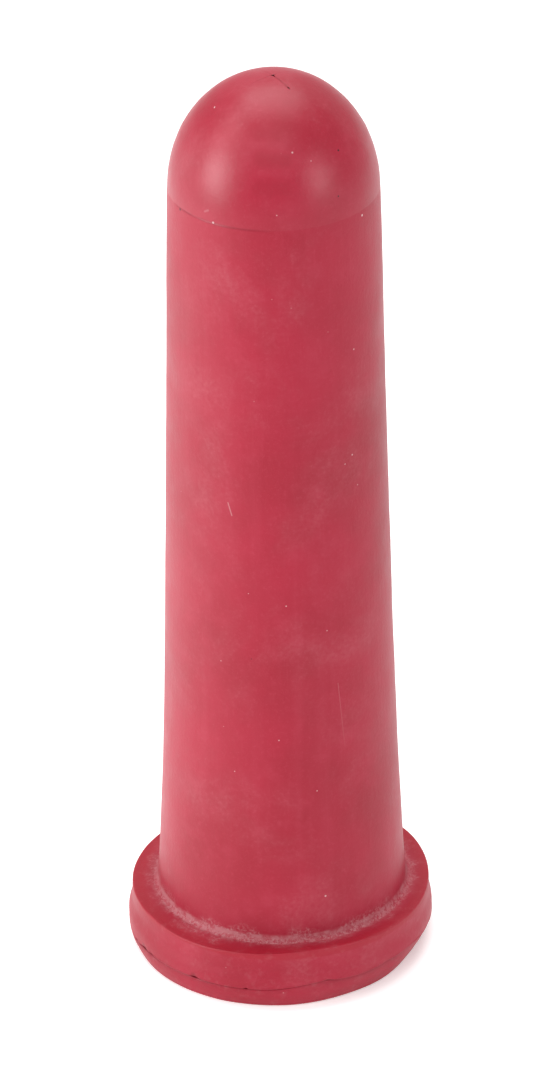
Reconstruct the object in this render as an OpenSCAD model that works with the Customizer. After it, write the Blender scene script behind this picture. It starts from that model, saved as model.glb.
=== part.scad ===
// Feeding teat with a flanged foot and a cross-cut tip, natural rubber.
// Millimetres. +Z runs up the teat's axis from the underside of the flange,
// which is z = 0. The axis passes through the origin.

/* [Overall] */
// Height from the underside of the flange to the crown
total_h = 110; // [100:0.5:120]
// Height of the domed nose above its mould line
nose_h = 13.1; // [12:0.1:15]
// Outer radius of the sleeve where the nose begins
nose_r = 11.8; // [11:0.1:13]
// Straight taper of the sleeve, added to the radius at its foot
taper = 2; // [1:0.1:2.6]
// Bell flare of the sleeve, added to the radius at its foot
flare = 0.8; // [0:0.1:1.2]

/* [Flange] */
// Thickness of the flange
flange_h = 7.3; // [6.5:0.1:9]
// Radius of the flange at its top edge
flange_r = 17.5; // [17:0.1:19]
// Extra radius of the flange at its parting line
flange_bulge = 0.4; // [0.1:0.05:0.6]
// Height of the parting line above the underside
parting_z = 2.5; // [2:0.1:3]
// Step inwards below the parting line
bead_step = 0.2; // [0.1:0.05:0.3]
// Radius of the underside's outer edge
underside_r = 17; // [16.5:0.1:17.5]
// Fillet where the sleeve meets the flange
foot_fillet = 0.9; // [0.4:0.1:1.5]

/* [Bore] */
// Radius of the mouth that a spigot is pushed into
mouth_r = 10.5; // [10:0.1:11]
// Radius of the bore at the nose line
bore_top_r = 8.2; // [7.8:0.1:8.6]
// Wall thickness at the crown, where the tip is cut
crown_t = 1.6; // [1.2:0.1:2.2]

/* [Flexing zones] */
// Top of the flexible root, above the underside
root_top_z = 37; // [34:0.5:40]
// Bottom of the flexible neck, which runs up to the nose
neck_z = 70; // [66:0.5:74]

/* [Cross cut] */
// Length of each cut from the crown outwards
cut_len = 3.5; // [3:0.1:3.8]
// Direction of the first cut, in degrees
cut_angle = 35; // [0:5:85]
// Gap between neighbouring lips at the outer surface
cut_gap = 0.1; // [0.06:0.02:0.16]
// Relief angle of the cut faces, so that the lips can turn outwards
cut_relief = 26; // [24:1:30]

/* [Hidden] */
$fn = 96;
rubber = [0.72, 0.2, 0.27];
rubber_dark = [0.62, 0.15, 0.2];
nose_z = total_h - nose_h;                 // height of the nose's mould line
hinge_r = cut_len * cos(45);               // where a lip bends, from the axis
bore_nose_h = nose_h - crown_t;            // rise of the bore inside the nose
hinge_z = nose_z + nose_h * sqrt(1 - pow(hinge_r / nose_r, 2)); // height of the bending line

// How far up the sleeve z lies, from 0 at the flange to 1 at the nose line.
function along(z) = (z - flange_h) / (nose_z - flange_h);
// Fillet at the foot, a quarter circle that dies out at its own height.
function foot(z) = z < flange_h + foot_fillet
    ? foot_fillet - sqrt(max(0, pow(foot_fillet, 2) - pow(flange_h + foot_fillet - z, 2)))
    : 0;
// Outer radius of the sleeve at height z.
function outer(z) = nose_r + taper * (1 - along(z)) + flare * pow(1 - along(z), 5) + foot(z) * 0.5;
// Radius of the bore at height z, a plain taper above the mouth.
function bore(z) = mouth_r + (bore_top_r - mouth_r) * along(z);
// Heights of n + 1 stations between z0 and z1.
function stations(z0, z1, n) = [for (i = [0:n]) z0 + (z1 - z0) * i / n];

// One length of the tapered tube, with its outer wall following outer().
module tube(zs) {
    n = len(zs) - 1;
    rotate_extrude()
        polygon(concat(
            [for (z = zs) [outer(z), z]],
            [[bore(zs[n]), zs[n]], [bore(zs[0]), zs[0]]]));
}

// The domed shell of the nose, before the tip is cut.
module nose_shell() {
    rotate_extrude()
        polygon(concat(
            [for (a = [0:5:90]) [nose_r * cos(a), nose_z + nose_h * sin(a)]],
            [for (a = [90:-6:0]) [bore_top_r * cos(a), nose_z + bore_nose_h * sin(a)]]));
}

// Lower band of the flange, below the parting line.
module base_bead() {
    color(rubber_dark)
        rotate_extrude()
            polygon([
                [mouth_r, 0],
                [underside_r - 0.3, 0],
                [underside_r, 0.25],
                [flange_r + flange_bulge - bead_step, parting_z - 0.3],
                [flange_r + flange_bulge - bead_step, parting_z],
                [mouth_r, parting_z]]);
}

// Upper band of the flange, with the flat seat around the foot of the sleeve.
module base_flange() {
    color(rubber_dark)
        rotate_extrude()
            polygon([
                [mouth_r, parting_z],
                [flange_r + flange_bulge, parting_z],
                [flange_r + flange_bulge * 0.8, parting_z + 1.4],
                [flange_r + flange_bulge * 0.3, flange_h - 1.2],
                [flange_r, flange_h - 0.15],
                [flange_r - 0.15, flange_h],
                [mouth_r, flange_h]]);
}

// Flexible root, with the fillet at its foot.
module flex_root() {
    color(rubber)
        tube(concat([for (i = [0:5]) flange_h + foot_fillet * i / 5],
                    stations(flange_h + 2.5, root_top_z, 9)));
}

// The long wall between the flexible root and the flexible neck.
module sleeve_wall() {
    color(rubber) tube(stations(root_top_z, neck_z, 6));
}

// Flexible neck, between the long wall and the nose.
module flex_neck() {
    color(rubber) tube(stations(neck_z, nose_z, 5));
}

// The nose, with the square window that the four lips close.
module nose_cap() {
    color(rubber)
        difference() {
            nose_shell();
            rotate([0, 0, cut_angle + 45])
                translate([-hinge_r, -hinge_r, nose_z + bore_nose_h / 2])
                    cube([2 * hinge_r, 2 * hinge_r, nose_h]);
        }
}

// A slab whose side leans away from the cut beside it by the relief angle,
// below the height of the bending line, so that the cut is widest inside the
// nose. side is 1 or -1.
module relief(side) {
    rotate([0, 0, side * 45])
        translate([0, 0, hinge_z])
            rotate([-side * cut_relief, 0, 0])
                translate([-8, side > 0 ? -16 : 0, -10])
                    cube([24, 16, 20]);
}

// One triangular lip of the crown, bounded by two cuts and its bending line.
module lip(i) {
    g = cut_gap / 2;
    color(rubber_dark)
        rotate([0, 0, cut_angle + 45 + 90 * i])
            intersection() {
                nose_shell();
                translate([0, 0, nose_z + bore_nose_h / 2])
                    linear_extrude(nose_h)
                        polygon([
                            [g * sqrt(2), 0],
                            [hinge_r - g, -(hinge_r - g - g * sqrt(2))],
                            [hinge_r - g, hinge_r - g - g * sqrt(2)]]);
                relief(1);
                relief(-1);
            }
}

module lip_1() { lip(3); }
module lip_2() { lip(0); }
module lip_3() { lip(1); }
module lip_4() { lip(2); }

base_bead();
base_flange();
flex_root();
sleeve_wall();
flex_neck();
nose_cap();
lip_1();
lip_2();
lip_3();
lip_4();
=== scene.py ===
# Feeding teat of red natural rubber: skins, materials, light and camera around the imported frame.
import math

import bpy
import numpy as np
from mathutils import Matrix, Vector

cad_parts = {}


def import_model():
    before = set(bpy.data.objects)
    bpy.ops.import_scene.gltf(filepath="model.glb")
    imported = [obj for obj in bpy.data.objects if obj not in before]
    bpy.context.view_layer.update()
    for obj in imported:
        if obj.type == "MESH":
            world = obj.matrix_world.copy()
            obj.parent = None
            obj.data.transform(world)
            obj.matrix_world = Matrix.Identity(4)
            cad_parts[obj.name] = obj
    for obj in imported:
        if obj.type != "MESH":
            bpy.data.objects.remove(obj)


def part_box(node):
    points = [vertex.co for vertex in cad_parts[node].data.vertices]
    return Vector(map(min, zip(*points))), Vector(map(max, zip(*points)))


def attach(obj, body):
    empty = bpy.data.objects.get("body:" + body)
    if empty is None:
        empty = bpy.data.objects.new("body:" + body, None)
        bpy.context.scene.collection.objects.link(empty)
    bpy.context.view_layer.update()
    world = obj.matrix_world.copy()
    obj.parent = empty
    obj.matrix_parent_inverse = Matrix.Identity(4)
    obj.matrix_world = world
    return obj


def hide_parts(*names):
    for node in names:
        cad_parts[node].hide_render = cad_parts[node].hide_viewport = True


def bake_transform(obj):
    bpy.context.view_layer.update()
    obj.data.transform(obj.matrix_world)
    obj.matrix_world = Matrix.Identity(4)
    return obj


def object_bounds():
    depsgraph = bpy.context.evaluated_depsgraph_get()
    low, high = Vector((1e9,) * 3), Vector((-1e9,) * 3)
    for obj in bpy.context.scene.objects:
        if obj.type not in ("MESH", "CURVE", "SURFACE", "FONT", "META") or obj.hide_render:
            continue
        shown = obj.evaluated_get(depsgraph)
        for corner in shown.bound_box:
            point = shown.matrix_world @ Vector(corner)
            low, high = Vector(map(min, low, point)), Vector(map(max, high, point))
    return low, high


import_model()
CAD_BOX = [list(v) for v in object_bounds()]


# ---------------------------------------------------------------- sizes, in mm
def node_box(name):
    lo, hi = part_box(name)
    return [v * 1000 for v in lo], [v * 1000 for v in hi]


Z_PART = node_box("base_bead")[1][2]        # parting line of the flange
Z_SEAT = node_box("base_flange")[1][2]      # top face of the flange
Z_ROOT = node_box("flex_root")[1][2]        # top of the flexible root
Z_NECK = node_box("sleeve_wall")[1][2]      # bottom of the flexible neck
Z_NOSE = node_box("flex_neck")[1][2]        # mould line of the nose
Z_TOP = CAD_BOX[1][2] * 1000                # crown
R_NOSE = node_box("nose_cap")[1][0]         # radius at the nose's mould line
H_NOSE = Z_TOP - Z_NOSE
R_FLANGE, R_BULGE = 17.5, 0.4
R_MOUTH, R_BORE_TOP = 10.5, 8.2
CROWN_T = 1.6
CUT = 3.5                                   # length of each cut
RIM = 4.7                                   # where the nose's skin ends and the lips' skins begin
LIPS = (("lip_1", 350.0), ("lip_2", 80.0), ("lip_3", 170.0), ("lip_4", 260.0))


def smooth(x, a, b):
    t = np.clip((np.asarray(x, float) - a) / (b - a), 0.0, 1.0)
    return t * t * (3 - 2 * t)


def outer(z):
    t = np.clip((np.asarray(z, float) - Z_SEAT) / (Z_NOSE - Z_SEAT), 0, 1)
    return R_NOSE + 2.0 * (1 - t) + 0.8 * (1 - t) ** 5


def bore(z):
    t = (np.asarray(z, float) - Z_SEAT) / (Z_NOSE - Z_SEAT)
    return R_MOUTH + (R_BORE_TOP - R_MOUTH) * t


# ------------------------------------------------- smooth noise on lattice, seeded
def lattice(i, j, k, seed):
    with np.errstate(over="ignore"):
        h = (i.astype(np.int64) * 374761393 + j.astype(np.int64) * 668265263
             + k.astype(np.int64) * 2147483647 + seed * 1274126177) & 0xFFFFFFFF
        h = ((h ^ (h >> 13)) * 1274126177) & 0xFFFFFFFF
        h = (h ^ (h >> 16)) & 0xFFFFFFFF
    return h / 2147483648.0 - 1.0


def noise3(p, size, seed):
    """Smooth noise from -1 to 1 at points p, features about size across."""
    q = np.asarray(p, float) / size + 137.31
    c = np.floor(q).astype(np.int64)
    f = q - c
    f = f * f * f * (f * (f * 6 - 15) + 10)
    out = 0.0
    for dx in (0, 1):
        for dy in (0, 1):
            for dz in (0, 1):
                w = ((f[..., 0] if dx else 1 - f[..., 0]) * (f[..., 1] if dy else 1 - f[..., 1])
                     * (f[..., 2] if dz else 1 - f[..., 2]))
                out = out + w * lattice(c[..., 0] + dx, c[..., 1] + dy, c[..., 2] + dz, seed)
    return out


# --------------------------------------------------------- the outer wall's shape
def around(deg, pairs, soft=5.0):
    """A value that changes round the axis, from pairs of azimuth and value, smoothed over soft degrees."""
    grid = np.arange(0, 360, 0.5)
    az, val = zip(*sorted(pairs))
    v = np.interp(grid, az, val, period=360)
    k = np.exp(-(np.arange(-40, 41) * 0.5 / soft) ** 2)
    v = np.convolve(np.concatenate([v[-40:], v, v[:40]]), k / k.sum(), "valid")
    return np.interp(deg, grid, v, period=360)


def mould_step(phi):
    """How clear the nose's mould line is at angle phi: plain on one side, gone on the other."""
    return smooth(np.cos(phi - math.radians(233)), 0.80, 0.97)


def wall_lift(p):
    """How far the real surface stands off the drawn one, in mm, at points p."""
    phi = np.arctan2(p[..., 1], p[..., 0])
    z = p[..., 2]
    lift = 0.045 * np.cos(2 * phi + 1.1 + 0.02 * z) + 0.02 * np.cos(3 * phi - 0.6 + 0.05 * z)
    lift = lift * smooth(z, Z_SEAT + 1, Z_SEAT + 10)
    lift = lift * (1 - 0.8 * smooth(z, Z_TOP - 4, Z_TOP))
    lift = lift + 0.030 * noise3(p, 9.0, 3) + 0.016 * noise3(p, 3.2, 4)
    # turned rings left on the nose's mould, broken up
    nose = smooth(z, Z_NOSE + 1.5, Z_NOSE + 4) * (1 - smooth(z, Z_TOP - 1.5, Z_TOP - 0.6))
    rings = np.cos(z * 2 * np.pi / 2.35 + 0.6) * 0.5 + np.cos(z * 2 * np.pi / 1.5 + 2.0) * 0.3
    lift = lift + 0.016 * nose * rings * (0.55 + 0.45 * noise3(p, 5.0, 9))
    # the nose stands back a hair from the sleeve, and there is a nick on the right side
    clear = mould_step(phi)
    lift = lift - (0.045 * clear * smooth(z, Z_NOSE - 0.04, Z_NOSE + 0.12) + 0.045 * (1 - clear) * smooth(z, Z_NOSE - 1.2, Z_NOSE + 1.2)) * (1 - smooth(z, Z_NOSE + 3, Z_NOSE + 9))
    dphi = (np.degrees(phi) - 354.0 + 180) % 360 - 180
    lift = lift - 0.10 * np.exp(-((z - 61.8) / 0.45) ** 2 - (dphi / 4.0) ** 2)
    return lift


def sleeve(phi, z):
    """A point of the sleeve's outer wall at angle phi and height z."""
    u = np.clip((z - Z_SEAT) / 1.0, 0, 1)
    r = outer(z) + 0.55 * (1 - np.sqrt(np.clip(1 - (1 - u) ** 2, 0, 1)))
    # the mould line of the nose: a fine crease that fades out towards +X
    r = r - 0.022 * mould_step(phi) * np.exp(-((z - Z_NOSE) / 0.10) ** 2)
    p = np.stack([r * np.cos(phi), r * np.sin(phi), z + 0 * phi], -1)
    lift = wall_lift(p)
    p[..., 0] += lift * np.cos(phi)
    p[..., 1] += lift * np.sin(phi)
    return p


def nose(phi, a):
    """A point of the nose's outer wall at angle phi and profile angle a, 0 at the mould line."""
    ca, sa = np.cos(a), np.sin(a)
    r, z = R_NOSE * ca, Z_NOSE + H_NOSE * sa
    r = r - 0.022 * mould_step(phi) * np.exp(-((z - Z_NOSE) / 0.10) ** 2)
    p = np.stack([r * np.cos(phi), r * np.sin(phi), z + 0 * phi], -1)
    n = np.stack([ca / R_NOSE * np.cos(phi), ca / R_NOSE * np.sin(phi), sa / H_NOSE + 0 * phi], -1)
    n /= np.linalg.norm(n, axis=-1, keepdims=True)
    return p + n * (wall_lift(p) * (1 - smooth(z, Z_TOP - 0.9, Z_TOP)) + 0.0)[..., None]


def nose_xy(x, y):
    """The same wall above a point x, y near the crown."""
    rho = np.hypot(x, y)
    return nose(np.arctan2(y, x), np.arccos(np.clip(rho / R_NOSE, 0, 1)))


def normals(f, u, v, eu, ev, flip=False):
    a = f(u + eu, v) - f(u - eu, v)
    b = f(u, v + ev) - f(u, v - ev)
    n = np.cross(a, b)
    n /= np.maximum(np.linalg.norm(n, axis=-1, keepdims=True), 1e-12)
    return -n if flip else n


# ----------------------------------------------------------------- mesh building
def make(name, verts, faces, smooth_faces=None, corner_normals=None, rest=None):
    """A mesh object from points in mm. corner_normals is not used."""
    me = bpy.data.meshes.new(name)
    me.from_pydata((np.asarray(verts) * 1e-3).tolist(), [], faces)
    me.update()
    o = bpy.data.objects.new(name, me)
    bpy.context.scene.collection.objects.link(o)
    at = me.attributes.new("rest", "FLOAT_VECTOR", "POINT")
    at.data.foreach_set("vector", (np.asarray(verts if rest is None else rest) * 1e-3).astype(np.float32).ravel())
    me.polygons.foreach_set("use_smooth", np.ones(len(me.polygons), bool))
    return o


def sharpen(o, degrees):
    """Marks the edges sharper than the angle, so that faces on their two sides shade apart."""
    me = o.data
    fn = np.zeros(len(me.polygons) * 3)
    me.polygons.foreach_get("normal", fn)
    fn = fn.reshape(-1, 3)
    side = {}
    for p in me.polygons:
        for k in p.edge_keys:
            side.setdefault(k, []).append(p.index)
    lim = math.cos(math.radians(degrees))
    sharp = np.zeros(len(me.edges), bool)
    for e in me.edges:
        s = side.get(tuple(sorted(e.vertices)), ())
        if len(s) == 2 and fn[s[0]] @ fn[s[1]] < lim:
            sharp[e.index] = True
    at = me.attributes.get("sharp_edge") or me.attributes.new("sharp_edge", "BOOLEAN", "EDGE")
    at.data.foreach_set("value", sharp)


def set_normals(o, vert_normals, faces_with):
    """Gives the corners of the chosen faces the exact normals of the wall they lie on."""
    me = o.data
    out = np.zeros((len(me.loops), 3))
    for p in me.polygons:
        if faces_with[p.index]:
            for li in p.loop_indices:
                out[li] = vert_normals[me.loops[li].vertex_index]
    me.normals_split_custom_set(out.tolist())


def ring_solid(name, rows, n, wall_rows=0, wall_n=None, crease=32):
    """A closed ring from rows of n points each, in order round its section, outwards up the wall first.
    The first wall_rows rows are the outer wall and take the exact normals in wall_n."""
    m = len(rows)
    verts = np.concatenate(rows)
    faces = []
    for i in range(m):
        a, b = i * n, ((i + 1) % m) * n
        for j in range(n):
            k = (j + 1) % n
            faces.append((a + j, a + k, b + k, b + j))
    o = make(name, verts, faces)
    sharpen(o, crease)
    if wall_rows:
        vn = np.zeros((len(verts), 3))
        vn[: wall_rows * n] = np.concatenate(wall_n)
        flags = [i < wall_rows - 1 for i in range(m) for _ in range(n)]
        set_normals(o, vn, flags)
    return o


def mark(o, values):
    """Stores how much painted shade falls at each vertex, under the ledge of the parting line, 0 to 1, for the
    material to darken.
    """
    at = o.data.attributes.new("ledge_shade", "FLOAT", "POINT")
    at.data.foreach_set("value", np.concatenate([v + 0 * PF for v in values]).astype(np.float32))


def circle(n):
    return np.arange(n) * 2 * np.pi / n


def flat_ring(phi, r, z):
    return np.stack([r * np.cos(phi), r * np.sin(phi), z + 0 * phi], -1)


N = 384
PHI = circle(N)


def sleeve_piece(name, z0, z1, step, dense_foot=False):
    zs = np.linspace(z0, z1, int(round((z1 - z0) / step)) + 1)
    if dense_foot:
        zs = np.concatenate([z0 + 1.2 * np.linspace(0, 1, 9) ** 1.5, np.linspace(z0 + 1.2, z1, int(round((z1 - z0) / step)))[1:]])
    elif z1 > Z_NOSE - 0.01:
        zs = np.concatenate([zs[zs < z1 - 0.7], z1 - np.array([0.6, 0.4, 0.26, 0.17, 0.1, 0.05, 0.0])])
    rows = [sleeve(PHI, z + 0 * PHI) for z in zs]
    wn = [normals(sleeve, PHI, z + 0 * PHI, 2e-3, 0.02) for z in zs]
    k = len(rows)
    inner = np.linspace(z1, z0, 14)
    for t in (0.5,):
        r = outer(z1) * (1 - t) + bore(z1) * t
        rows.append(flat_ring(PHI, r, z1))
    for z in inner:
        rows.append(flat_ring(PHI, bore(z) + 0 * PHI, z))
    low = flat_ring(PHI, outer(z0) * 0.5 + bore(z0) * 0.5, z0)
    rows.append(low)
    return ring_solid(name, rows, N, k, wn)


flex_root = sleeve_piece("flex_root_skin", Z_SEAT, Z_ROOT, 0.55, dense_foot=True)
sleeve_wall = sleeve_piece("sleeve_wall_skin", Z_ROOT, Z_NECK, 0.6)
flex_neck = sleeve_piece("flex_neck_skin", Z_NECK, Z_NOSE, 0.6)


# ------------------------------------------------------------------------ the nose
def nose_piece():
    a_rim = math.acos(RIM / R_NOSE)
    fine = np.arcsin(np.array([0.0, 0.05, 0.1, 0.17, 0.26, 0.4, 0.6]) / H_NOSE)
    a = np.concatenate([fine, np.linspace(fine[-1], a_rim, 46)[1:]])
    rows = [nose(PHI, t + 0 * PHI) for t in a]
    wn = [normals(nose, PHI, t + 0 * PHI, 2e-3, 1.5e-3) for t in a]
    k = len(rows)
    h_in = H_NOSE - CROWN_T
    ai_rim = math.acos(RIM / R_BORE_TOP)
    z_out = Z_NOSE + H_NOSE * math.sin(a_rim)
    z_in = Z_NOSE + h_in * math.sin(ai_rim)
    for t in (0.35, 0.7):
        rows.append(flat_ring(PHI, RIM, z_out + (z_in - z_out) * t))
    for t in np.linspace(ai_rim, 0, 16):
        rows.append(flat_ring(PHI, R_BORE_TOP * math.cos(t), Z_NOSE + h_in * math.sin(t)))
    rows.append(flat_ring(PHI, (R_BORE_TOP + R_NOSE) / 2, Z_NOSE))
    return ring_solid("nose_skin", rows, N, k, wn)


nose_skin = nose_piece()


# ------------------------------------------------- the four lips of the cross cut
# for each cut, by its direction: gap along it, gap at the crown, how far that reaches, gap at its end
CUTS = {35.0: (0.004, 0.085, 0.34, 0.0), 125.0: (0.004, 0.022, 0.20, 0.0),
        215.0: (0.005, 0.026, 0.22, 0.0), 305.0: (0.005, 0.105, 0.36, 0.060)}


def gap_at(rho, arm):
    """Half the width of the cut at distance rho from the crown. arm is the cut's direction in degrees."""
    base, crown, reach, end = CUTS[arm]
    g = base + crown * np.exp(-(rho / reach) ** 2) + end * np.exp(-((rho - 3.0) / 0.24) ** 2)
    return g * (1 - smooth(rho, CUT - 0.35, CUT))


def lip_piece(name, az):
    rows, m = 58, N // 4
    t = np.linspace(0, 1, rows) ** 1.05
    ang = np.linspace(-45, 45, m + 1)
    c, s = math.cos(math.radians(az)), math.sin(math.radians(az))
    bx, by = RIM * np.cos(np.radians(ang)), RIM * np.sin(np.radians(ang))
    arms = {1: (az + 45) % 360, -1: (az - 45) % 360}

    def plan(extra):
        """Rows of x, y in the lip's own frame, with the cut faces moved in by extra(rho)."""
        out = []
        g, rho = {1: 0.05, -1: 0.05}, 0.07
        for _ in range(12):
            g = {k: float(gap_at(rho, arms[k]) + extra(rho)) for k in g}
            ax, ay = (g[1] + g[-1]) / math.sqrt(2), (g[-1] - g[1]) / math.sqrt(2)
            rho = math.hypot(ax, ay)
        for ti in t:
            x, y = ax + ti * (bx - ax), ay + ti * (by - ay)
            for side in (1, -1):
                w = np.clip(side * ang / 45, 0, 1) ** 6
                rho = np.hypot(x, y)
                want = gap_at(rho, arms[side]) + extra(rho)
                have = g[side] * (1 - ti)
                d = (want - have) * w
                x = x + d * math.sin(math.radians(45))
                y = y - side * d * math.cos(math.radians(45))
            out.append((x, y))
        return out

    def world(x, y):
        return x * c - y * s, x * s + y * c

    def crown(x, y):
        p = nose_xy(x, y)
        return p

    top, top_n = [], []
    for x, y in plan(lambda rho: 0.0):
        X, Y = world(x, y)
        p = crown(X, Y)
        n = normals(nose_xy, X, Y, 0.02, 0.02)
        # the cut's edges are drawn in and rounded a little, and each lip stands a hair apart from the next
        rho = np.hypot(x, y)
        live = 1 - smooth(rho, CUT - 0.5, CUT)
        roll = 0
        for side in (1, -1):
            edge = (x - side * y) / math.sqrt(2)
            deep = 0.018 if arms[side] == 305.0 else 0.006
            deep = deep + 0.05 * np.exp(-(rho / CUTS[arms[side]][2] / 1.4) ** 2)
            roll = roll + deep * np.exp(-(np.maximum(edge, 0) / 0.09) ** 2) * live
        lift = {"lip_1": 0.012, "lip_2": 0.004, "lip_3": 0.0, "lip_4": -0.006}[name] * (1 - smooth(rho, 1.2, 3.2)) * live
        p[..., 2] += lift - roll
        top.append(p)
        top_n.append(n)
    h_in = H_NOSE - CROWN_T
    low = []
    deep = lambda rho: 0.95 * (1 - smooth(rho, CUT + 0.1, RIM - 0.15))
    for x, y in plan(deep):
        rho = np.minimum(np.hypot(x, y), RIM)
        X, Y = world(x, y)
        z = Z_NOSE + h_in * np.sqrt(1 - (rho / R_BORE_TOP) ** 2)
        low.append(np.stack([X, Y, z], -1))
    k = m + 1
    nt = rows * k
    mid = []
    # the cut faces lean back from the top surface down to the inner one
    verts = np.concatenate(top + low)
    faces = []
    for i in range(rows - 1):
        for j in range(m):
            a, b = i * k + j, (i + 1) * k + j
            faces.append((a, b, b + 1, a + 1))
    n_top = len(faces)
    for i in range(rows - 1):
        for j in range(m):
            a, b = nt + i * k + j, nt + (i + 1) * k + j
            faces.append((a, a + 1, b + 1, b))
    for i in range(rows - 1):
        a, b = i * k, (i + 1) * k
        faces.append((a, nt + a, nt + b, b))
        a, b = i * k + m, (i + 1) * k + m
        faces.append((a, b, nt + b, nt + a))
    for j in range(m):
        a, b = (rows - 1) * k + j, j
        faces.append((a, nt + a, nt + a + 1, a + 1))
        faces.append((b, b + 1, nt + b + 1, nt + b))
    o = make(name + "_skin", verts, faces)
    import bmesh
    bm = bmesh.new()
    bm.from_mesh(o.data)
    bmesh.ops.remove_doubles(bm, verts=bm.verts, dist=1e-7)
    bmesh.ops.recalc_face_normals(bm, faces=bm.faces)
    bm.to_mesh(o.data)
    bm.free()
    sharpen(o, 40)
    # exact normals on the outer face, away from the rolled edges
    me = o.data
    co = np.zeros(len(me.vertices) * 3)
    me.vertices.foreach_get("co", co)
    co = co.reshape(-1, 3) * 1000
    x = co[:, 0] * c + co[:, 1] * s
    y = -co[:, 0] * s + co[:, 1] * c
    rho = np.hypot(x, y)
    vn = normals(nose_xy, co[:, 0], co[:, 1], 0.02, 0.02)
    flags = []
    for p in me.polygons:
        idx = list(p.vertices)
        r = rho[idx]
        up = p.normal.z > 0.5
        flags.append(bool(up and r.min() > CUT - 0.02))
    set_normals(o, vn, flags)
    return o


lip_skins = {name: lip_piece(name, az) for name, az in LIPS}


# ---------------------------------------------------------------------- the flange
NF = 768
PF = circle(NF)


def bell(phi_deg, centre, width):
    d = (phi_deg - centre + 180) % 360 - 180
    return np.exp(-(d / width) ** 2)


DEG = np.degrees(PF)
FLASH = noise3(np.stack([9 * np.cos(PF), 9 * np.sin(PF), 0 * PF], -1), 1.1, 21)
FLASH2 = noise3(np.stack([17 * np.cos(PF), 17 * np.sin(PF), 0 * PF + 5], -1), 0.8, 22)
SLOW = noise3(np.stack([6 * np.cos(PF), 6 * np.sin(PF), 0 * PF + 9], -1), 5.0, 23)
# torn places along the parting line
NICKS = (bell(DEG, 206.0, 2.6) * 0.55 + bell(DEG, 211.5, 1.3) * 0.4 + bell(DEG, 235.0, 1.9) * 0.55 + bell(DEG, 198.5, 1.5) * 0.45
         + bell(DEG, 256.0, 0.8) * 0.5 + bell(DEG, 287.0, 1.6) * 0.35 + bell(DEG, 313.0, 3.0) * 0.3 + bell(DEG, 30.0, 2.0) * 0.5
         + bell(DEG, 88.0, 1.5) * 0.6 + bell(DEG, 141.0, 2.6) * 0.5)


TOP_R = 17.49 - 0.16 * np.cos(PF)
TOP_DZ = around(DEG, ((0, .22), (20, .38), (40, .28), (90, 0), (145, -.38), (165, -.34), (192, -.12), (211, -.08), (226, -.27), (237, -.27), (245, -.16), (254, -.07),
                      (262, .01), (270, .18), (279, .34), (288, .36), (297, .29), (306, .18), (317, .13), (332, .08)), 4.0)
PART_Z = around(DEG, ((0, 2.75), (30, 2.6), (90, 2.5), (150, 2.3), (180, 2.0), (198, 1.95), (205, 2.25), (211, 2.35), (233, 2.55),
                      (256, 2.6), (266, 2.75), (275, 3.1), (285, 3.5), (292, 3.25), (300, 3.12), (314, 3.3), (326, 3.3), (340, 2.9)), 3.0)
PART_R = around(DEG, ((0, 17.68), (45, 17.72), (90, 17.75), (135, 17.9), (165, 18.05), (180, 18.1), (198, 18.15), (211, 18.08),
                      (233, 17.97), (256, 17.88), (285, 17.75), (300, 17.7), (326, 17.66), (345, 17.65)), 6.0)
# the underside was trimmed by hand: closer in on one side than on the other
LOW_R = around(DEG, ((0, 16.6), (30, 16.8), (90, 16.9), (150, 17.1), (180, 17.35), (207, 17.54), (219, 17.57), (227, 17.50), (235, 17.4),
                     (249, 17.27), (262, 17.09), (274, 16.94), (281, 16.80), (287, 16.68), (294, 16.54), (302, 16.46), (310, 16.46),
                     (320, 16.32), (333, 16.05), (345, 16.25)), 3.0)
# how much painted shade lies under the ledge of the parting line, round the axis
LEDGE_SHADE = around(DEG, ((0, .7), (90, .4), (150, .5), (180, .5), (198, .9), (210, .75), (220, .25), (231, .5), (239, .6), (250, .22), (275, .15),
                    (286, .6), (300, .85), (320, 1.0), (345, .85)), 2.5) * (0.75 + 0.25 * FLASH)
FIN = around(DEG, ((0, .12), (90, .08), (180, .05), (240, .03), (262, .04), (280, .18), (300, .30), (320, .36), (340, .28)), 6.0)


def flange_point(r, z, wobble=1.0):
    """A ring of the flange at radius r and height z, either of them a number or one value per angle."""
    p = np.stack([(r + 0 * PF) * np.cos(PF), (r + 0 * PF) * np.sin(PF), z + 0 * PF], -1)
    lift = 0.035 * noise3(p, 6.0, 31) + 0.018 * noise3(p, 2.0, 32)
    wide = smooth(np.hypot(p[:, 0], p[:, 1]), 14.0, 16.5) * wobble
    p[:, 0] += wide * lift * np.cos(PF)
    p[:, 1] += wide * lift * np.sin(PF)
    return p


def part_z(r):
    """Height of the parting face at radius r: it wanders only near the outside."""
    return Z_PART + (PART_Z - Z_PART) * smooth(r, 13.5, 16.8)


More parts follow.
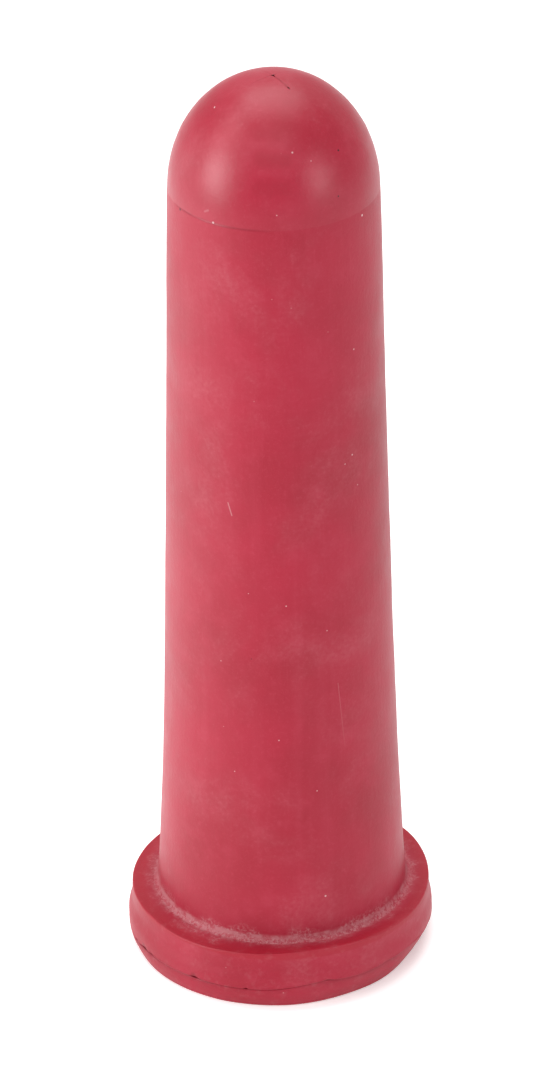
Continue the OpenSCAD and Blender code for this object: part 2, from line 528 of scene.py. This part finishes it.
def flange_skin():
    # the lower edge is where the mould's halves met: a thin ragged fin, torn back at the nicks
    z_low = PART_Z + 0.030 * FLASH + 0.02 * FLASH2 + 0.17 * NICKS
    r_fin = PART_R + 0.02 + 0.04 * FLASH + 0.03 * FLASH2 - 0.20 * NICKS
    rows = [
        flange_point(R_MOUTH, part_z(R_MOUTH)),
        flange_point(13.0, part_z(13.0)),
        flange_point(15.5, part_z(15.5)),
        flange_point(PART_R - 0.75, part_z(17.0) + 0.01),
        flange_point(PART_R - 0.36, PART_Z + 0.01 + 0.15 * NICKS),
        flange_point(r_fin - 0.10, z_low),
        flange_point(r_fin - 0.03, z_low + 0.03),
        flange_point(r_fin, z_low + 0.09),
        flange_point(PART_R - 0.005 - 0.13 * NICKS, z_low + 0.22),
    ]
    top = Z_SEAT + TOP_DZ
    for t in np.linspace(0.0, 1.0, 14) ** 0.9:
        z = (z_low + 0.40) * (1 - t) + (top - 0.26) * t
        r = TOP_R + (PART_R - TOP_R) * smooth(-(z - TOP_DZ), -5.6, -3.6) + 0.02 * np.sin(np.pi * t)
        rows.append(flange_point(r, z))
    # rounded upper edge
    rr = 0.17 + 0.04 * SLOW
    for a in (18, 38, 58, 76, 90):
        ca, sa = math.cos(math.radians(a)), math.sin(math.radians(a))
        rows.append(flange_point(TOP_R - rr * (1 - ca), top - rr * (1 - sa)))
    for r in np.concatenate([np.linspace(17.05, 14.9, 10), [14.3, 13.2, 12.0, 11.0]]):
        wob = 0.022 * noise3(np.stack([r * np.cos(PF), r * np.sin(PF), 0 * PF], -1), 2.2, 41) * float(smooth(r, 14.9, 15.6))
        rows.append(flange_point(r, Z_SEAT + TOP_DZ * smooth(r, 14.9, 17.1) + wob))
    rows += [flange_point(R_MOUTH, z) for z in np.linspace(Z_SEAT, Z_PART, 6)[:-1]]
    o = ring_solid("base_flange_skin", rows, NF, crease=38)
    mark(o, [LEDGE_SHADE * k for k in (0, 0, 0, .6, 1, 1, .6, .25, .05)] + [0.0] * (len(rows) - 9))
    return o


def bead_skin():
    top_r = PART_R - FIN - 0.02 * FLASH - 0.12 * NICKS
    low_r = LOW_R + 0.03 * SLOW + 0.012 * FLASH2
    cut_z = 0.28
    rows = [
        flange_point(11.1, 0.0),
        flange_point(13.0, 0.0),
        flange_point(15.0, 0.0),
        flange_point(low_r - 0.42, 0.0),
        flange_point(low_r - 0.22, 0.012),
        flange_point(low_r - 0.08, 0.055),
        flange_point(low_r, 0.13),
        flange_point(low_r + 0.05, cut_z),
    ]
    for t in np.linspace(0.1, 1.0, 9):
        z = cut_z + (PART_Z - 0.24 - cut_z) * t
        rows.append(flange_point((low_r + 0.05) * (1 - t) + top_r * t + 0.10 * np.sin(np.pi * t), z))
    rows += [
        flange_point(top_r - 0.02, PART_Z - 0.13 - 0.03 * NICKS),
        flange_point(top_r - 0.08, PART_Z - 0.06 - 0.08 * NICKS),
        flange_point(top_r - 0.20, PART_Z - 0.02 - 0.12 * NICKS),
        flange_point(PART_R - 0.75, part_z(17.0) - 0.004),
        flange_point(15.5, part_z(15.5) - 0.004),
        flange_point(13.0, part_z(13.0) - 0.004),
        flange_point(R_MOUTH, part_z(R_MOUTH) - 0.004),
    ]
    rows += [flange_point(R_MOUTH, z) for z in (1.8, 1.1, 0.6)]
    for a in (25, 50, 72):
        rows.append(flange_point(R_MOUTH + 0.6 * (1 - math.cos(math.radians(a))), 0.6 - 0.6 * math.sin(math.radians(a))))
    o = ring_solid("base_bead_skin", rows, NF, crease=38)
    mark(o, [LEDGE_SHADE * k for k in [0] * 13 + [.10, .30, .65, .95, 1, 1, 1, .6]] + [0.0] * (len(rows) - 21))
    return o


base_flange = flange_skin()
base_bead = bead_skin()


# ------------------------------------------------------------------------ materials
class Tree:
    """A small helper that adds nodes to one material."""

    def __init__(self, name):
        self.m = bpy.data.materials.new(name)
        self.m.use_nodes = True
        self.t = self.m.node_tree
        self.t.nodes.clear()
        self.out = self.t.nodes.new("ShaderNodeOutputMaterial")
        self.b = self.t.nodes.new("ShaderNodeBsdfPrincipled")
        self.t.links.new(self.b.outputs[0], self.out.inputs[0])
        a = self.t.nodes.new("ShaderNodeAttribute")
        a.attribute_name = "rest"
        self.p = a.outputs["Vector"]
        s = self.t.nodes.new("ShaderNodeSeparateXYZ")
        self.link(self.p, s.inputs[0])
        self.x, self.y, self.z = s.outputs

    def link(self, a, b):
        self.t.links.new(a, b)

    def put(self, socket, v):
        if hasattr(v, "is_linked") or hasattr(v, "links"):
            self.link(v, socket)
        else:
            socket.default_value = v

    def math(self, op, a, b=0.0, c=0.0, clamp=False):
        n = self.t.nodes.new("ShaderNodeMath")
        n.operation = op
        n.use_clamp = clamp
        for i, v in enumerate((a, b, c)):
            self.put(n.inputs[i], v)
        return n.outputs[0]

    def add(self, a, b):
        return self.math("ADD", a, b)

    def mul(self, a, b):
        return self.math("MULTIPLY", a, b)

    def vec(self, op, a, b=(0, 0, 0), scale=None):
        n = self.t.nodes.new("ShaderNodeVectorMath")
        n.operation = op
        self.put(n.inputs[0], a)
        if scale is not None:
            n.inputs["Scale"].default_value = scale
        else:
            self.put(n.inputs[1], b)
        return n.outputs["Value"] if op in ("DISTANCE", "LENGTH", "DOT_PRODUCT") else n.outputs["Vector"]

    def xyz(self, x, y, z):
        n = self.t.nodes.new("ShaderNodeCombineXYZ")
        for i, v in enumerate((x, y, z)):
            self.put(n.inputs[i], v)
        return n.outputs[0]

    def noise(self, size_mm, detail=2.0, rough=0.5, vector=None, distort=0.0):
        n = self.t.nodes.new("ShaderNodeTexNoise")
        n.inputs["Scale"].default_value = 1000.0 / size_mm
        n.inputs["Detail"].default_value = detail
        n.inputs["Roughness"].default_value = rough
        n.inputs["Distortion"].default_value = distort
        self.link(self.p if vector is None else vector, n.inputs["Vector"])
        return n.outputs["Fac"]

    def spots(self, size_mm, vector=None):
        n = self.t.nodes.new("ShaderNodeTexVoronoi")
        n.inputs["Scale"].default_value = 1000.0 / size_mm
        self.link(self.p if vector is None else vector, n.inputs["Vector"])
        return n.outputs["Distance"], n.outputs["Color"]

    def ramp(self, v, a, b, lo=0.0, hi=1.0, soft=True):
        n = self.t.nodes.new("ShaderNodeMapRange")
        n.interpolation_type = "SMOOTHSTEP" if soft else "LINEAR"
        n.clamp = True
        self.put(n.inputs["Value"], v)
        n.inputs["From Min"].default_value = a
        n.inputs["From Max"].default_value = b
        n.inputs["To Min"].default_value = lo
        n.inputs["To Max"].default_value = hi
        return n.outputs["Result"]

    def mix(self, f, a, b):
        n = self.t.nodes.new("ShaderNodeMix")
        n.data_type = "RGBA"
        n.clamp_factor = True
        self.put(n.inputs[0], f)
        for i, v in ((6, a), (7, b)):
            if isinstance(v, tuple):
                n.inputs[i].default_value = (*v, 1.0)
            else:
                self.link(v, n.inputs[i])
        return n.outputs[2]

    def bump(self, height, distance_mm, strength=1.0, normal=None):
        n = self.t.nodes.new("ShaderNodeBump")
        n.inputs["Strength"].default_value = strength
        n.inputs["Distance"].default_value = distance_mm / 1000.0
        self.link(height, n.inputs["Height"])
        if normal is not None:
            self.link(normal, n.inputs["Normal"])
        return n.outputs[0]

    def spot_at(self, az, z, r, size_mm, hard=0.5, long=None):
        """1 at one place on the wall and 0 away from it: az in degrees, z and r in mm."""
        a = math.radians(az)
        c = (r * math.cos(a) / 1000, r * math.sin(a) / 1000, z / 1000)
        d = self.vec("DISTANCE", self.p, c)
        return self.ramp(d, size_mm * hard / 1000, size_mm / 1000, 1.0, 0.0)

    def line_at(self, p0, p1, width_mm):
        """1 along a short straight mark from p0 to p1, both az, z, r."""
        e = [Vector((r * math.cos(math.radians(a)), r * math.sin(math.radians(a)), z)) / 1000 for a, z, r in (p0, p1)]
        ab = e[1] - e[0]
        l2 = ab.length_squared
        ap = self.vec("SUBTRACT", self.p, tuple(e[0]))
        t = self.math("DIVIDE", self.vec("DOT_PRODUCT", ap, tuple(ab)), l2, clamp=True)
        n = self.t.nodes.new("ShaderNodeVectorMath")
        n.operation = "SCALE"
        n.inputs[0].default_value = tuple(ab)
        self.link(t, n.inputs["Scale"])
        d = self.vec("LENGTH", self.vec("SUBTRACT", ap, n.outputs["Vector"]))
        return self.ramp(d, width_mm * 0.25 / 1000, width_mm / 1000, 1.0, 0.0)

    def most(self, values):
        out = values[0]
        for v in values[1:]:
            out = self.math("MAXIMUM", out, v)
        return out


RED = (0.376, 0.0092, 0.0328)
RED_DEEP = (0.312, 0.0064, 0.0226)
RED_PINK = (0.438, 0.0370, 0.0680)
DUST = (0.66, 0.42, 0.44)
DARK = (0.12, 0.006, 0.012)

# azimuth, height, radius and size of each speck, and how strongly it shows
WHITE_SPECKS = ((324.3, 96.3, 11.8, 0.17, .8), (271.4, 98.7, 11.67, 0.11, .5), (235.9, 97.0, 11.79, 0.17, .6), (298.1, 84.1, 12.10, 0.10, .4),
                (314.7, 80.9, 12.2, 0.13, .5), (312.0, 68.1, 12.47, 0.13, .5), (307.1, 67.3, 12.49, 0.11, .4), (315.2, 64.1, 12.57, 0.10, .4),
                (254.7, 52.3, 12.85, 0.10, .4), (273.7, 50.9, 12.88, 0.11, .5), (294.5, 47.1, 12.98, 0.10, .4), (269.3, 33.7, 13.37, 0.11, .5),
                (247.1, 29.1, 13.52, 0.10, .4), (287.6, 26.7, 13.61, 0.10, .5), (290.5, 12.7, 14.28, 0.15, .7), (203.8, 107.5, 6.90, 0.15, .55),
                (282.6, 104.9, 9.31, 0.16, .55), (275.1, 104.9, 9.31, 0.10, .5), (120.0, 60.0, 12.66, 0.12, .5), (60.0, 83.0, 12.13, 0.11, .5),
                (15.0, 45.0, 13.03, 0.12, .5), (150.0, 30.0, 13.49, 0.12, .5))
DARK_SPECKS = ((209.5, 96.75, 11.8, 0.20), (307.3, 99.7, 11.53, 0.13), (329.1, 97.8, 11.75, 0.10), (315.7, 104.1, 9.84, 0.15),
               (256.0, 44.0, 13.05, 0.09), (95.0, 70.0, 12.43, 0.12))


def rubber(name, kind):
    t = Tree(name)
    b = t.b
    # colour: slow mottling, fine mottling, and upright streaks left by the mould
    slow = t.noise(16.0, 3.0, 0.55)
    mid = t.noise(3.4, 4.0, 0.6)
    fine = t.noise(0.50, 3.0, 0.62)
    grain = t.noise(0.24, 2.0, 0.6)
    col = t.mix(t.ramp(slow, 0.30, 0.66), RED_DEEP, RED)
    col = t.mix(t.mul(t.ramp(mid, 0.48, 0.80), 0.30), col, RED_PINK)
    col = t.mix(t.mul(t.ramp(mid, 0.46, 0.22), 0.25), col, RED_DEEP)
    col = t.mix(t.mul(t.ramp(fine, 0.52, 0.80), 0.26), col, RED_PINK)
    col = t.mix(t.mul(t.ramp(fine, 0.46, 0.22), 0.34), col, RED_DEEP)
    col = t.mix(t.mul(t.ramp(grain, 0.54, 0.80), 0.22), col, RED_PINK)
    upright = t.xyz(t.x, t.y, t.mul(t.z, 0.05))
    streak = t.noise(0.70, 3.0, 0.62, vector=upright)
    streak2 = t.noise(2.4, 2.0, 0.5, vector=upright)
    if kind == "sleeve":
        col = t.mix(t.mul(t.ramp(streak, 0.52, 0.80), 0.10), col, RED_PINK)
        col = t.mix(t.mul(t.ramp(streak, 0.46, 0.24), 0.12), col, RED_DEEP)
        col = t.mix(t.mul(t.ramp(streak2, 0.50, 0.75), 0.12), col, RED_PINK)
    # bloom: a whitish breath on the surface in soft patches
    patch = t.noise(13.0, 4.0, 0.60, distort=0.4)
    bloom = t.mul(t.ramp(patch, 0.46, 0.74), t.ramp(fine, 0.25, 0.75, 0.35, 1.0))
    col = t.mix(t.mul(bloom, 0.07), col, DUST)
    # fine dust everywhere, sparse
    d1, c1 = t.spots(2.1)
    sep = t.t.nodes.new("ShaderNodeSeparateColor")
    t.link(c1, sep.inputs[0])
    rare = t.ramp(sep.outputs[0], 0.80, 0.84)
    tiny = t.mul(t.ramp(d1, 0.050, 0.020), rare)
    dust = t.mul(tiny, t.mul(sep.outputs[1], 0.40))
    rough = 0.45 if kind == "sleeve" else 0.39 if kind == "nose" else 0.50
    rgh = t.add(rough, t.add(t.mul(t.add(mid, -0.5), 0.20), t.mul(t.add(fine, -0.5), 0.12)))
    height = t.add(t.mul(fine, 0.5), t.mul(grain, 0.28))
    if kind in ("sleeve", "nose"):
        height = t.add(height, t.mul(streak, 0.35 if kind == "sleeve" else 0.12))
        whites = t.most([t.mul(t.spot_at(a, z, r, s), k) for a, z, r, s, k in WHITE_SPECKS
                         if (kind == "nose") == (z > Z_NOSE)])
        darks = t.most([t.spot_at(a, z, r, s) for a, z, r, s in DARK_SPECKS
                        if (kind == "nose") == (z > Z_NOSE)] + [t.spot_at(209.5, 96.75, 11.8, 0.20)])
        dust = t.math("MAXIMUM", dust, t.mul(whites, 0.75))
        # the nose's mould line: painted shade in its fine crease, clear on one side and fading to the other
        line = t.mul(t.ramp(t.math("ABSOLUTE", t.add(t.z, -Z_NOSE / 1000)), 0.00004, 0.00022, 1.0, 0.0),
                     t.mul(t.ramp(t.x, 0.0020, -0.0045, 0.0, 0.26), t.ramp(t.x, -0.0113, -0.0098)))
        line = t.mul(line, t.ramp(t.noise(1.6, 2.0, 0.5), 0.30, 0.55, 0.45, 1.0))
        col = t.mix(line, col, DARK)
    if kind == "sleeve":
        light_scratch = t.line_at((243.9, 63.3, 12.59), (246.0, 61.8, 12.62), 0.13)
        dark_scratch = t.line_at((245.8, 56.3, 12.75), (245.8, 54.3, 12.79), 0.10)
        hair = t.line_at((300.0, 40.0, 13.17), (303.0, 31.5, 13.44), 0.07)
        dust = t.math("MAXIMUM", dust, t.add(t.mul(light_scratch, 0.30), t.mul(hair, 0.08)))
        col = t.mix(t.mul(dark_scratch, 0.35), col, RED_DEEP)
        height = t.add(height, t.mul(light_scratch, -0.5))
        # talc left in the corner at the foot: patchy up the wall, a bright thread at the bottom
        up = t.add(t.z, -Z_SEAT / 1000)
        reach = t.ramp(t.noise(3.0, 3.0, 0.6), 0.30, 0.72, 0.0004, 0.0030, soft=False)
        front = t.ramp(t.y, 0.009, -0.012, 0.35, 1.0)
        near = t.ramp(t.math("DIVIDE", up, reach), 0.15, 1.0, 1.0, 0.0)
        speck = t.ramp(t.noise(0.36, 4.0, 0.75), 0.44, 0.66, 0.06, 1.0)
        talc = t.mul(t.mul(near, speck), t.mul(front, 0.40))
        thread = t.mul(t.ramp(t.math("ABSOLUTE", t.add(up, -0.00055)), 0.00008, 0.00042, 1.0, 0.0),
                       t.ramp(t.noise(1.5, 3.0, 0.6), 0.36, 0.62, 0.10, 0.90))
        talc = t.math("MAXIMUM", talc, t.mul(thread, 0.30))
        corner = t.mul(t.ramp(up, 0.0002, 0.0011, 1.0, 0.0), t.ramp(t.noise(0.55, 4.0, 0.75), 0.40, 0.64, 0.05, 0.95))
        talc = t.math("MAXIMUM", talc, t.mul(corner, 0.26))
        col = t.mix(talc, col, DUST)
        rgh = t.add(rgh, t.mul(talc, 0.6))
        height = t.add(height, t.mul(talc, 0.8))
    if kind == "flange":
        rad = t.math("SQRT", t.add(t.mul(t.x, t.x), t.mul(t.y, t.y)))
        on_top = t.ramp(t.z, (Z_SEAT - 0.75) / 1000, (Z_SEAT - 0.50) / 1000)
        # talc on the inner part of the seat, speckled, clean at the rim
        edge = t.ramp(t.noise(2.6, 3.0, 0.6), 0.28, 0.72, 0.0150, 0.0168, soft=False)
        inside = t.ramp(t.math("DIVIDE", rad, edge), 0.92, 1.03, 1.0, 0.0)
        fleck = t.ramp(t.noise(0.30, 4.0, 0.78), 0.47, 0.66, 0.0, 1.0)
        haze = t.ramp(t.noise(1.7, 3.0, 0.6), 0.34, 0.70, 0.15, 1.0)
        talc = t.mul(t.mul(inside, on_top), t.add(t.mul(t.mul(fleck, haze), 0.46), t.mul(haze, 0.12)))
        foot = t.mul(t.mul(t.ramp(rad, 0.0150, 0.0157, 1.0, 0.0), on_top), t.ramp(t.noise(0.55, 4.0, 0.75), 0.38, 0.64, 0.08, 0.95))
        talc = t.math("MAXIMUM", talc, t.mul(foot, 0.28))
        # the outer part of the seat, beyond the talc, is darker and redder
        rim = t.mul(t.mul(t.ramp(rad, 0.0155, 0.0166), on_top), 0.60)
        col = t.mix(rim, col, (0.345, 0.0060, 0.0190))
        col = t.mix(talc, col, DUST)
        rgh = t.add(rgh, t.mul(talc, 0.6))
        height = t.add(height, t.mul(talc, 0.9))
        # painted shade under the ledge of the parting line, in places
        ledge_shade = t.t.nodes.new("ShaderNodeAttribute")
        ledge_shade.attribute_name = "ledge_shade"
        col = t.mix(t.mul(ledge_shade.outputs["Fac"], 0.55), col, (0.15, 0.004, 0.012))
        outside = t.ramp(rad, 0.0160, 0.0166)
        col = t.mix(t.mul(t.mul(t.ramp(t.noise(1.2, 3.0, 0.6), 0.52, 0.75), outside), 0.045), col, DUST)
        # dark spots: the four at the parting line (206, 210.5, 234.5 and 313 degrees) are painted shade in its torn
        # nicks; the three higher up the side are small dark spots
        for az, z, size, k in ((206.0, 2.55, 0.75, .75), (210.5, 2.55, 0.45, .6), (234.5, 2.8, 0.60, .6), (257.0, 7.1, 0.28, .45), (268.2, 7.25, 0.26, .40),
                               (284.0, 7.5, 0.22, .35), (313.0, 2.95, 0.4, .4)):
            col = t.mix(t.mul(t.spot_at(az, z, 17.75, size, 0.25), k), col, (0.16, 0.004, 0.010))
        for az, z, k in ((276.3, 5.7, .5), (283.8, 5.4, .5), (270.7, 6.7, .35), (262.0, 4.0, .25), (248.0, 5.0, .25), (301.0, 5.0, .3), (60.0, 5.2, .5), (130.0, 4.4, .5)):
            dust = t.math("MAXIMUM", dust, t.mul(t.spot_at(az, z, 17.7, 0.13, 0.3), k))
    col = t.mix(dust, col, (0.85, 0.72, 0.72))
    if kind in ("sleeve", "nose"):
        col = t.mix(t.mul(darks, 0.95), col, (0.006, 0.004, 0.006))
    if kind == "nose":
        # darker and paler bands across the front of the nose
        for p0, p1, w, k, c in (((259.0, 106.6, 7.9), (274.0, 106.5, 7.9), 0.85, 0.35, RED_DEEP), ((262.0, 104.3, 9.7), (277.0, 104.2, 9.7), 1.2, 0.50, RED_DEEP),
                                ((262.0, 101.6, 11.0), (276.0, 101.5, 11.0), 1.3, 0.35, RED_DEEP), ((262.0, 103.1, 10.4), (279.0, 102.8, 10.5), 0.55, 0.16, RED_PINK),
                                ((256.0, 105.6, 8.8), (276.0, 105.5, 8.8), 0.7, 0.14, RED_PINK), ((230.2, 98.0, 11.75), (232.4, 98.25, 11.72), 0.20, 0.14, DUST)):
            col = t.mix(t.mul(t.line_at(p0, p1, w), k), col, c)
        # the four cuts: painted shade in the one that gapes and at the hub where the cuts meet
        spin = math.radians(35)
        ux = t.add(t.mul(t.x, math.cos(spin)), t.mul(t.y, math.sin(spin)))
        uy = t.add(t.mul(t.x, -math.sin(spin)), t.mul(t.y, math.cos(spin)))
        rad = t.math("SQRT", t.add(t.mul(t.x, t.x), t.mul(t.y, t.y)))
        on = t.mul(t.ramp(t.math("ABSOLUTE", ux), 0.00004, 0.00028, 1.0, 0.0), t.ramp(uy, 0.0, -0.0003))
        on = t.mul(on, t.ramp(rad, 0.0030, 0.0034, 1.0, 0.0))
        hub = t.ramp(rad, 0.00010, 0.00045, 1.0, 0.0)
        on = t.mul(t.math("MAXIMUM", t.mul(on, 0.30), t.mul(hub, 0.5)), t.ramp(t.z, (Z_TOP - 2.0) / 1000, (Z_TOP - 1.5) / 1000))
        col = t.mix(on, col, (0.26, 0.005, 0.014))
    t.link(col, b.inputs["Base Color"])
    t.link(t.math("MINIMUM", t.math("MAXIMUM", rgh, 0.2), 1.0), b.inputs["Roughness"])
    t.link(t.bump(height, 0.045 if kind != "nose" else 0.030), b.inputs["Normal"])
    b.inputs["IOR"].default_value = 1.40 if kind == "nose" else 1.35
    return t.m


MAT = {k: rubber("rubber_" + k, k) for k in ("sleeve", "nose", "flange")}


def dress(o, kind):
    o.data.materials.clear()
    o.data.materials.append(MAT[kind])


for o in (flex_root, sleeve_wall, flex_neck):
    dress(o, "sleeve")
dress(nose_skin, "nose")
for o in lip_skins.values():
    dress(o, "nose")
for o in (base_flange, base_bead):
    dress(o, "flange")

# ---------------------------------------------------------- which body each rides on
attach(base_bead, "base")
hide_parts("base_bead")
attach(base_flange, "base")
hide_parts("base_flange")
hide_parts("flex_root")
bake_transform(flex_root)
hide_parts("sleeve_wall")
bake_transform(sleeve_wall)
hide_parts("flex_neck")
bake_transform(flex_neck)
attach(nose_skin, "nose")
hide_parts("nose_cap")
for name, az in LIPS:
    o = lip_skins[name]
    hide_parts(name)
    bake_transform(o)

# ----------------------------------------------------------------- floor and lights
scene = bpy.context.scene


def plane(name, half):
    me = bpy.data.meshes.new(name)
    me.from_pydata([(-half, -half, -0.00002), (half, -half, -0.00002), (half, half, -0.00002), (-half, half, -0.00002)], [], [(0, 1, 2, 3)])
    o = bpy.data.objects.new(name, me)
    scene.collection.objects.link(o)
    return o


floor = plane("floor", 4.0)
fm = bpy.data.materials.new("floor_paper")
fm.use_nodes = True
fb = fm.node_tree.nodes["Principled BSDF"]
fb.inputs["Base Color"].default_value = (0.90, 0.90, 0.90, 1)
fb.inputs["Emission Color"].default_value = (1, 1, 1, 1)
# painted pool of light: the paper glows brighter to the left, standing in for the light falling on it there
ft = fm.node_tree
fg = ft.nodes.new("ShaderNodeNewGeometry")
fd = ft.nodes.new("ShaderNodeVectorMath")
fd.operation = "DISTANCE"
fd.inputs[1].default_value = (-0.17, -0.03, 0.0)
fr = ft.nodes.new("ShaderNodeMapRange")
fr.interpolation_type = "SMOOTHSTEP"
for socket, value in (("From Min", 0.05), ("From Max", 0.20), ("To Min", 1.30), ("To Max", 0.27)):
    fr.inputs[socket].default_value = value
ft.links.new(fg.outputs["Position"], fd.inputs[0])
ft.links.new(fd.outputs["Value"], fr.inputs["Value"])
ft.links.new(fr.outputs["Result"], fb.inputs["Emission Strength"])
fb.inputs["Roughness"].default_value = 0.9
fb.inputs["Specular IOR Level"].default_value = 0.1
floor.data.materials.append(fm)

world = bpy.data.worlds.new("studio")
scene.world = world
world.use_nodes = True
wb = world.node_tree.nodes["Background"]
wb.inputs[0].default_value = (1.0, 1.0, 1.0, 1)
wb.inputs[1].default_value = 0.68


def softbox(name, az, el, dist, w, h, radiance, colour=(1, 1, 1), aim=(0, 0, 0.055)):
    """A rectangular light at azimuth az (0 is +X, turning to +Y) and elevation el, in metres and degrees."""
    a, e = math.radians(az), math.radians(el)
    d = Vector((math.cos(a) * math.cos(e), math.sin(a) * math.cos(e), math.sin(e)))
    l = bpy.data.lights.new(name, "AREA")
    l.shape = "RECTANGLE"
    l.size, l.size_y = w, h
    l.energy = radiance * math.pi * w * h
    l.color = colour
    o = bpy.data.objects.new(name, l)
    scene.collection.objects.link(o)
    o.location = Vector(aim) + d * dist
    o.rotation_mode = "QUATERNION"
    o.rotation_quaternion = (-d).to_track_quat("-Z", "Y")
    return o


softbox("key_left", 200, 14.5, 0.64, 0.25, 0.28, 5.2)
softbox("key_gloss", 201, 15.0, 0.63, 0.28, 0.28, 9.5).visible_diffuse = False
softbox("upper_left", 188, 44, 0.66, 0.34, 0.34, 3.6).visible_diffuse = False
softbox("side_left", 160, 0, 0.70, 0.30, 0.40, 1.5).visible_diffuse = False
softbox("fill_right", 323, 16.5, 0.75, 0.23, 0.30, 8.0).visible_diffuse = False
softbox("front_top", 270, 56, 0.80, 0.60, 0.45, 1.5)
softbox("overhead", 92, 72, 0.80, 0.70, 0.58, 3.8)

# ------------------------------------------------------------------------- camera
F_PX, PITCH, ROLL = 5333.4, math.radians(29.013), math.radians(0.687)
cam = bpy.data.cameras.new("camera")
cam.sensor_width = 36.0
cam.lens = F_PX / 1084 * 36.0
cam.clip_start, cam.clip_end = 0.05, 20
co = bpy.data.objects.new("camera", cam)
scene.collection.objects.link(co)
forward = Vector((0, math.cos(PITCH), -math.sin(PITCH)))
up0 = Vector((0, math.sin(PITCH), math.cos(PITCH)))
right0 = Vector((1, 0, 0))
right = right0 * math.cos(ROLL) - up0 * math.sin(ROLL)
up = right0 * math.sin(ROLL) + up0 * math.cos(ROLL)
m = Matrix.Identity(4)
for i in range(3):
    m[i][0], m[i][1], m[i][2] = right[i], up[i], -forward[i]
    m[i][3] = (0, -0.5310, 0.3465)[i]
co.matrix_world = m
scene.camera = co
scene.view_settings.view_transform = "Standard"
scene.view_settings.look = "None"
scene.view_settings.exposure = 0.0
scene.view_settings.gamma = 1.0
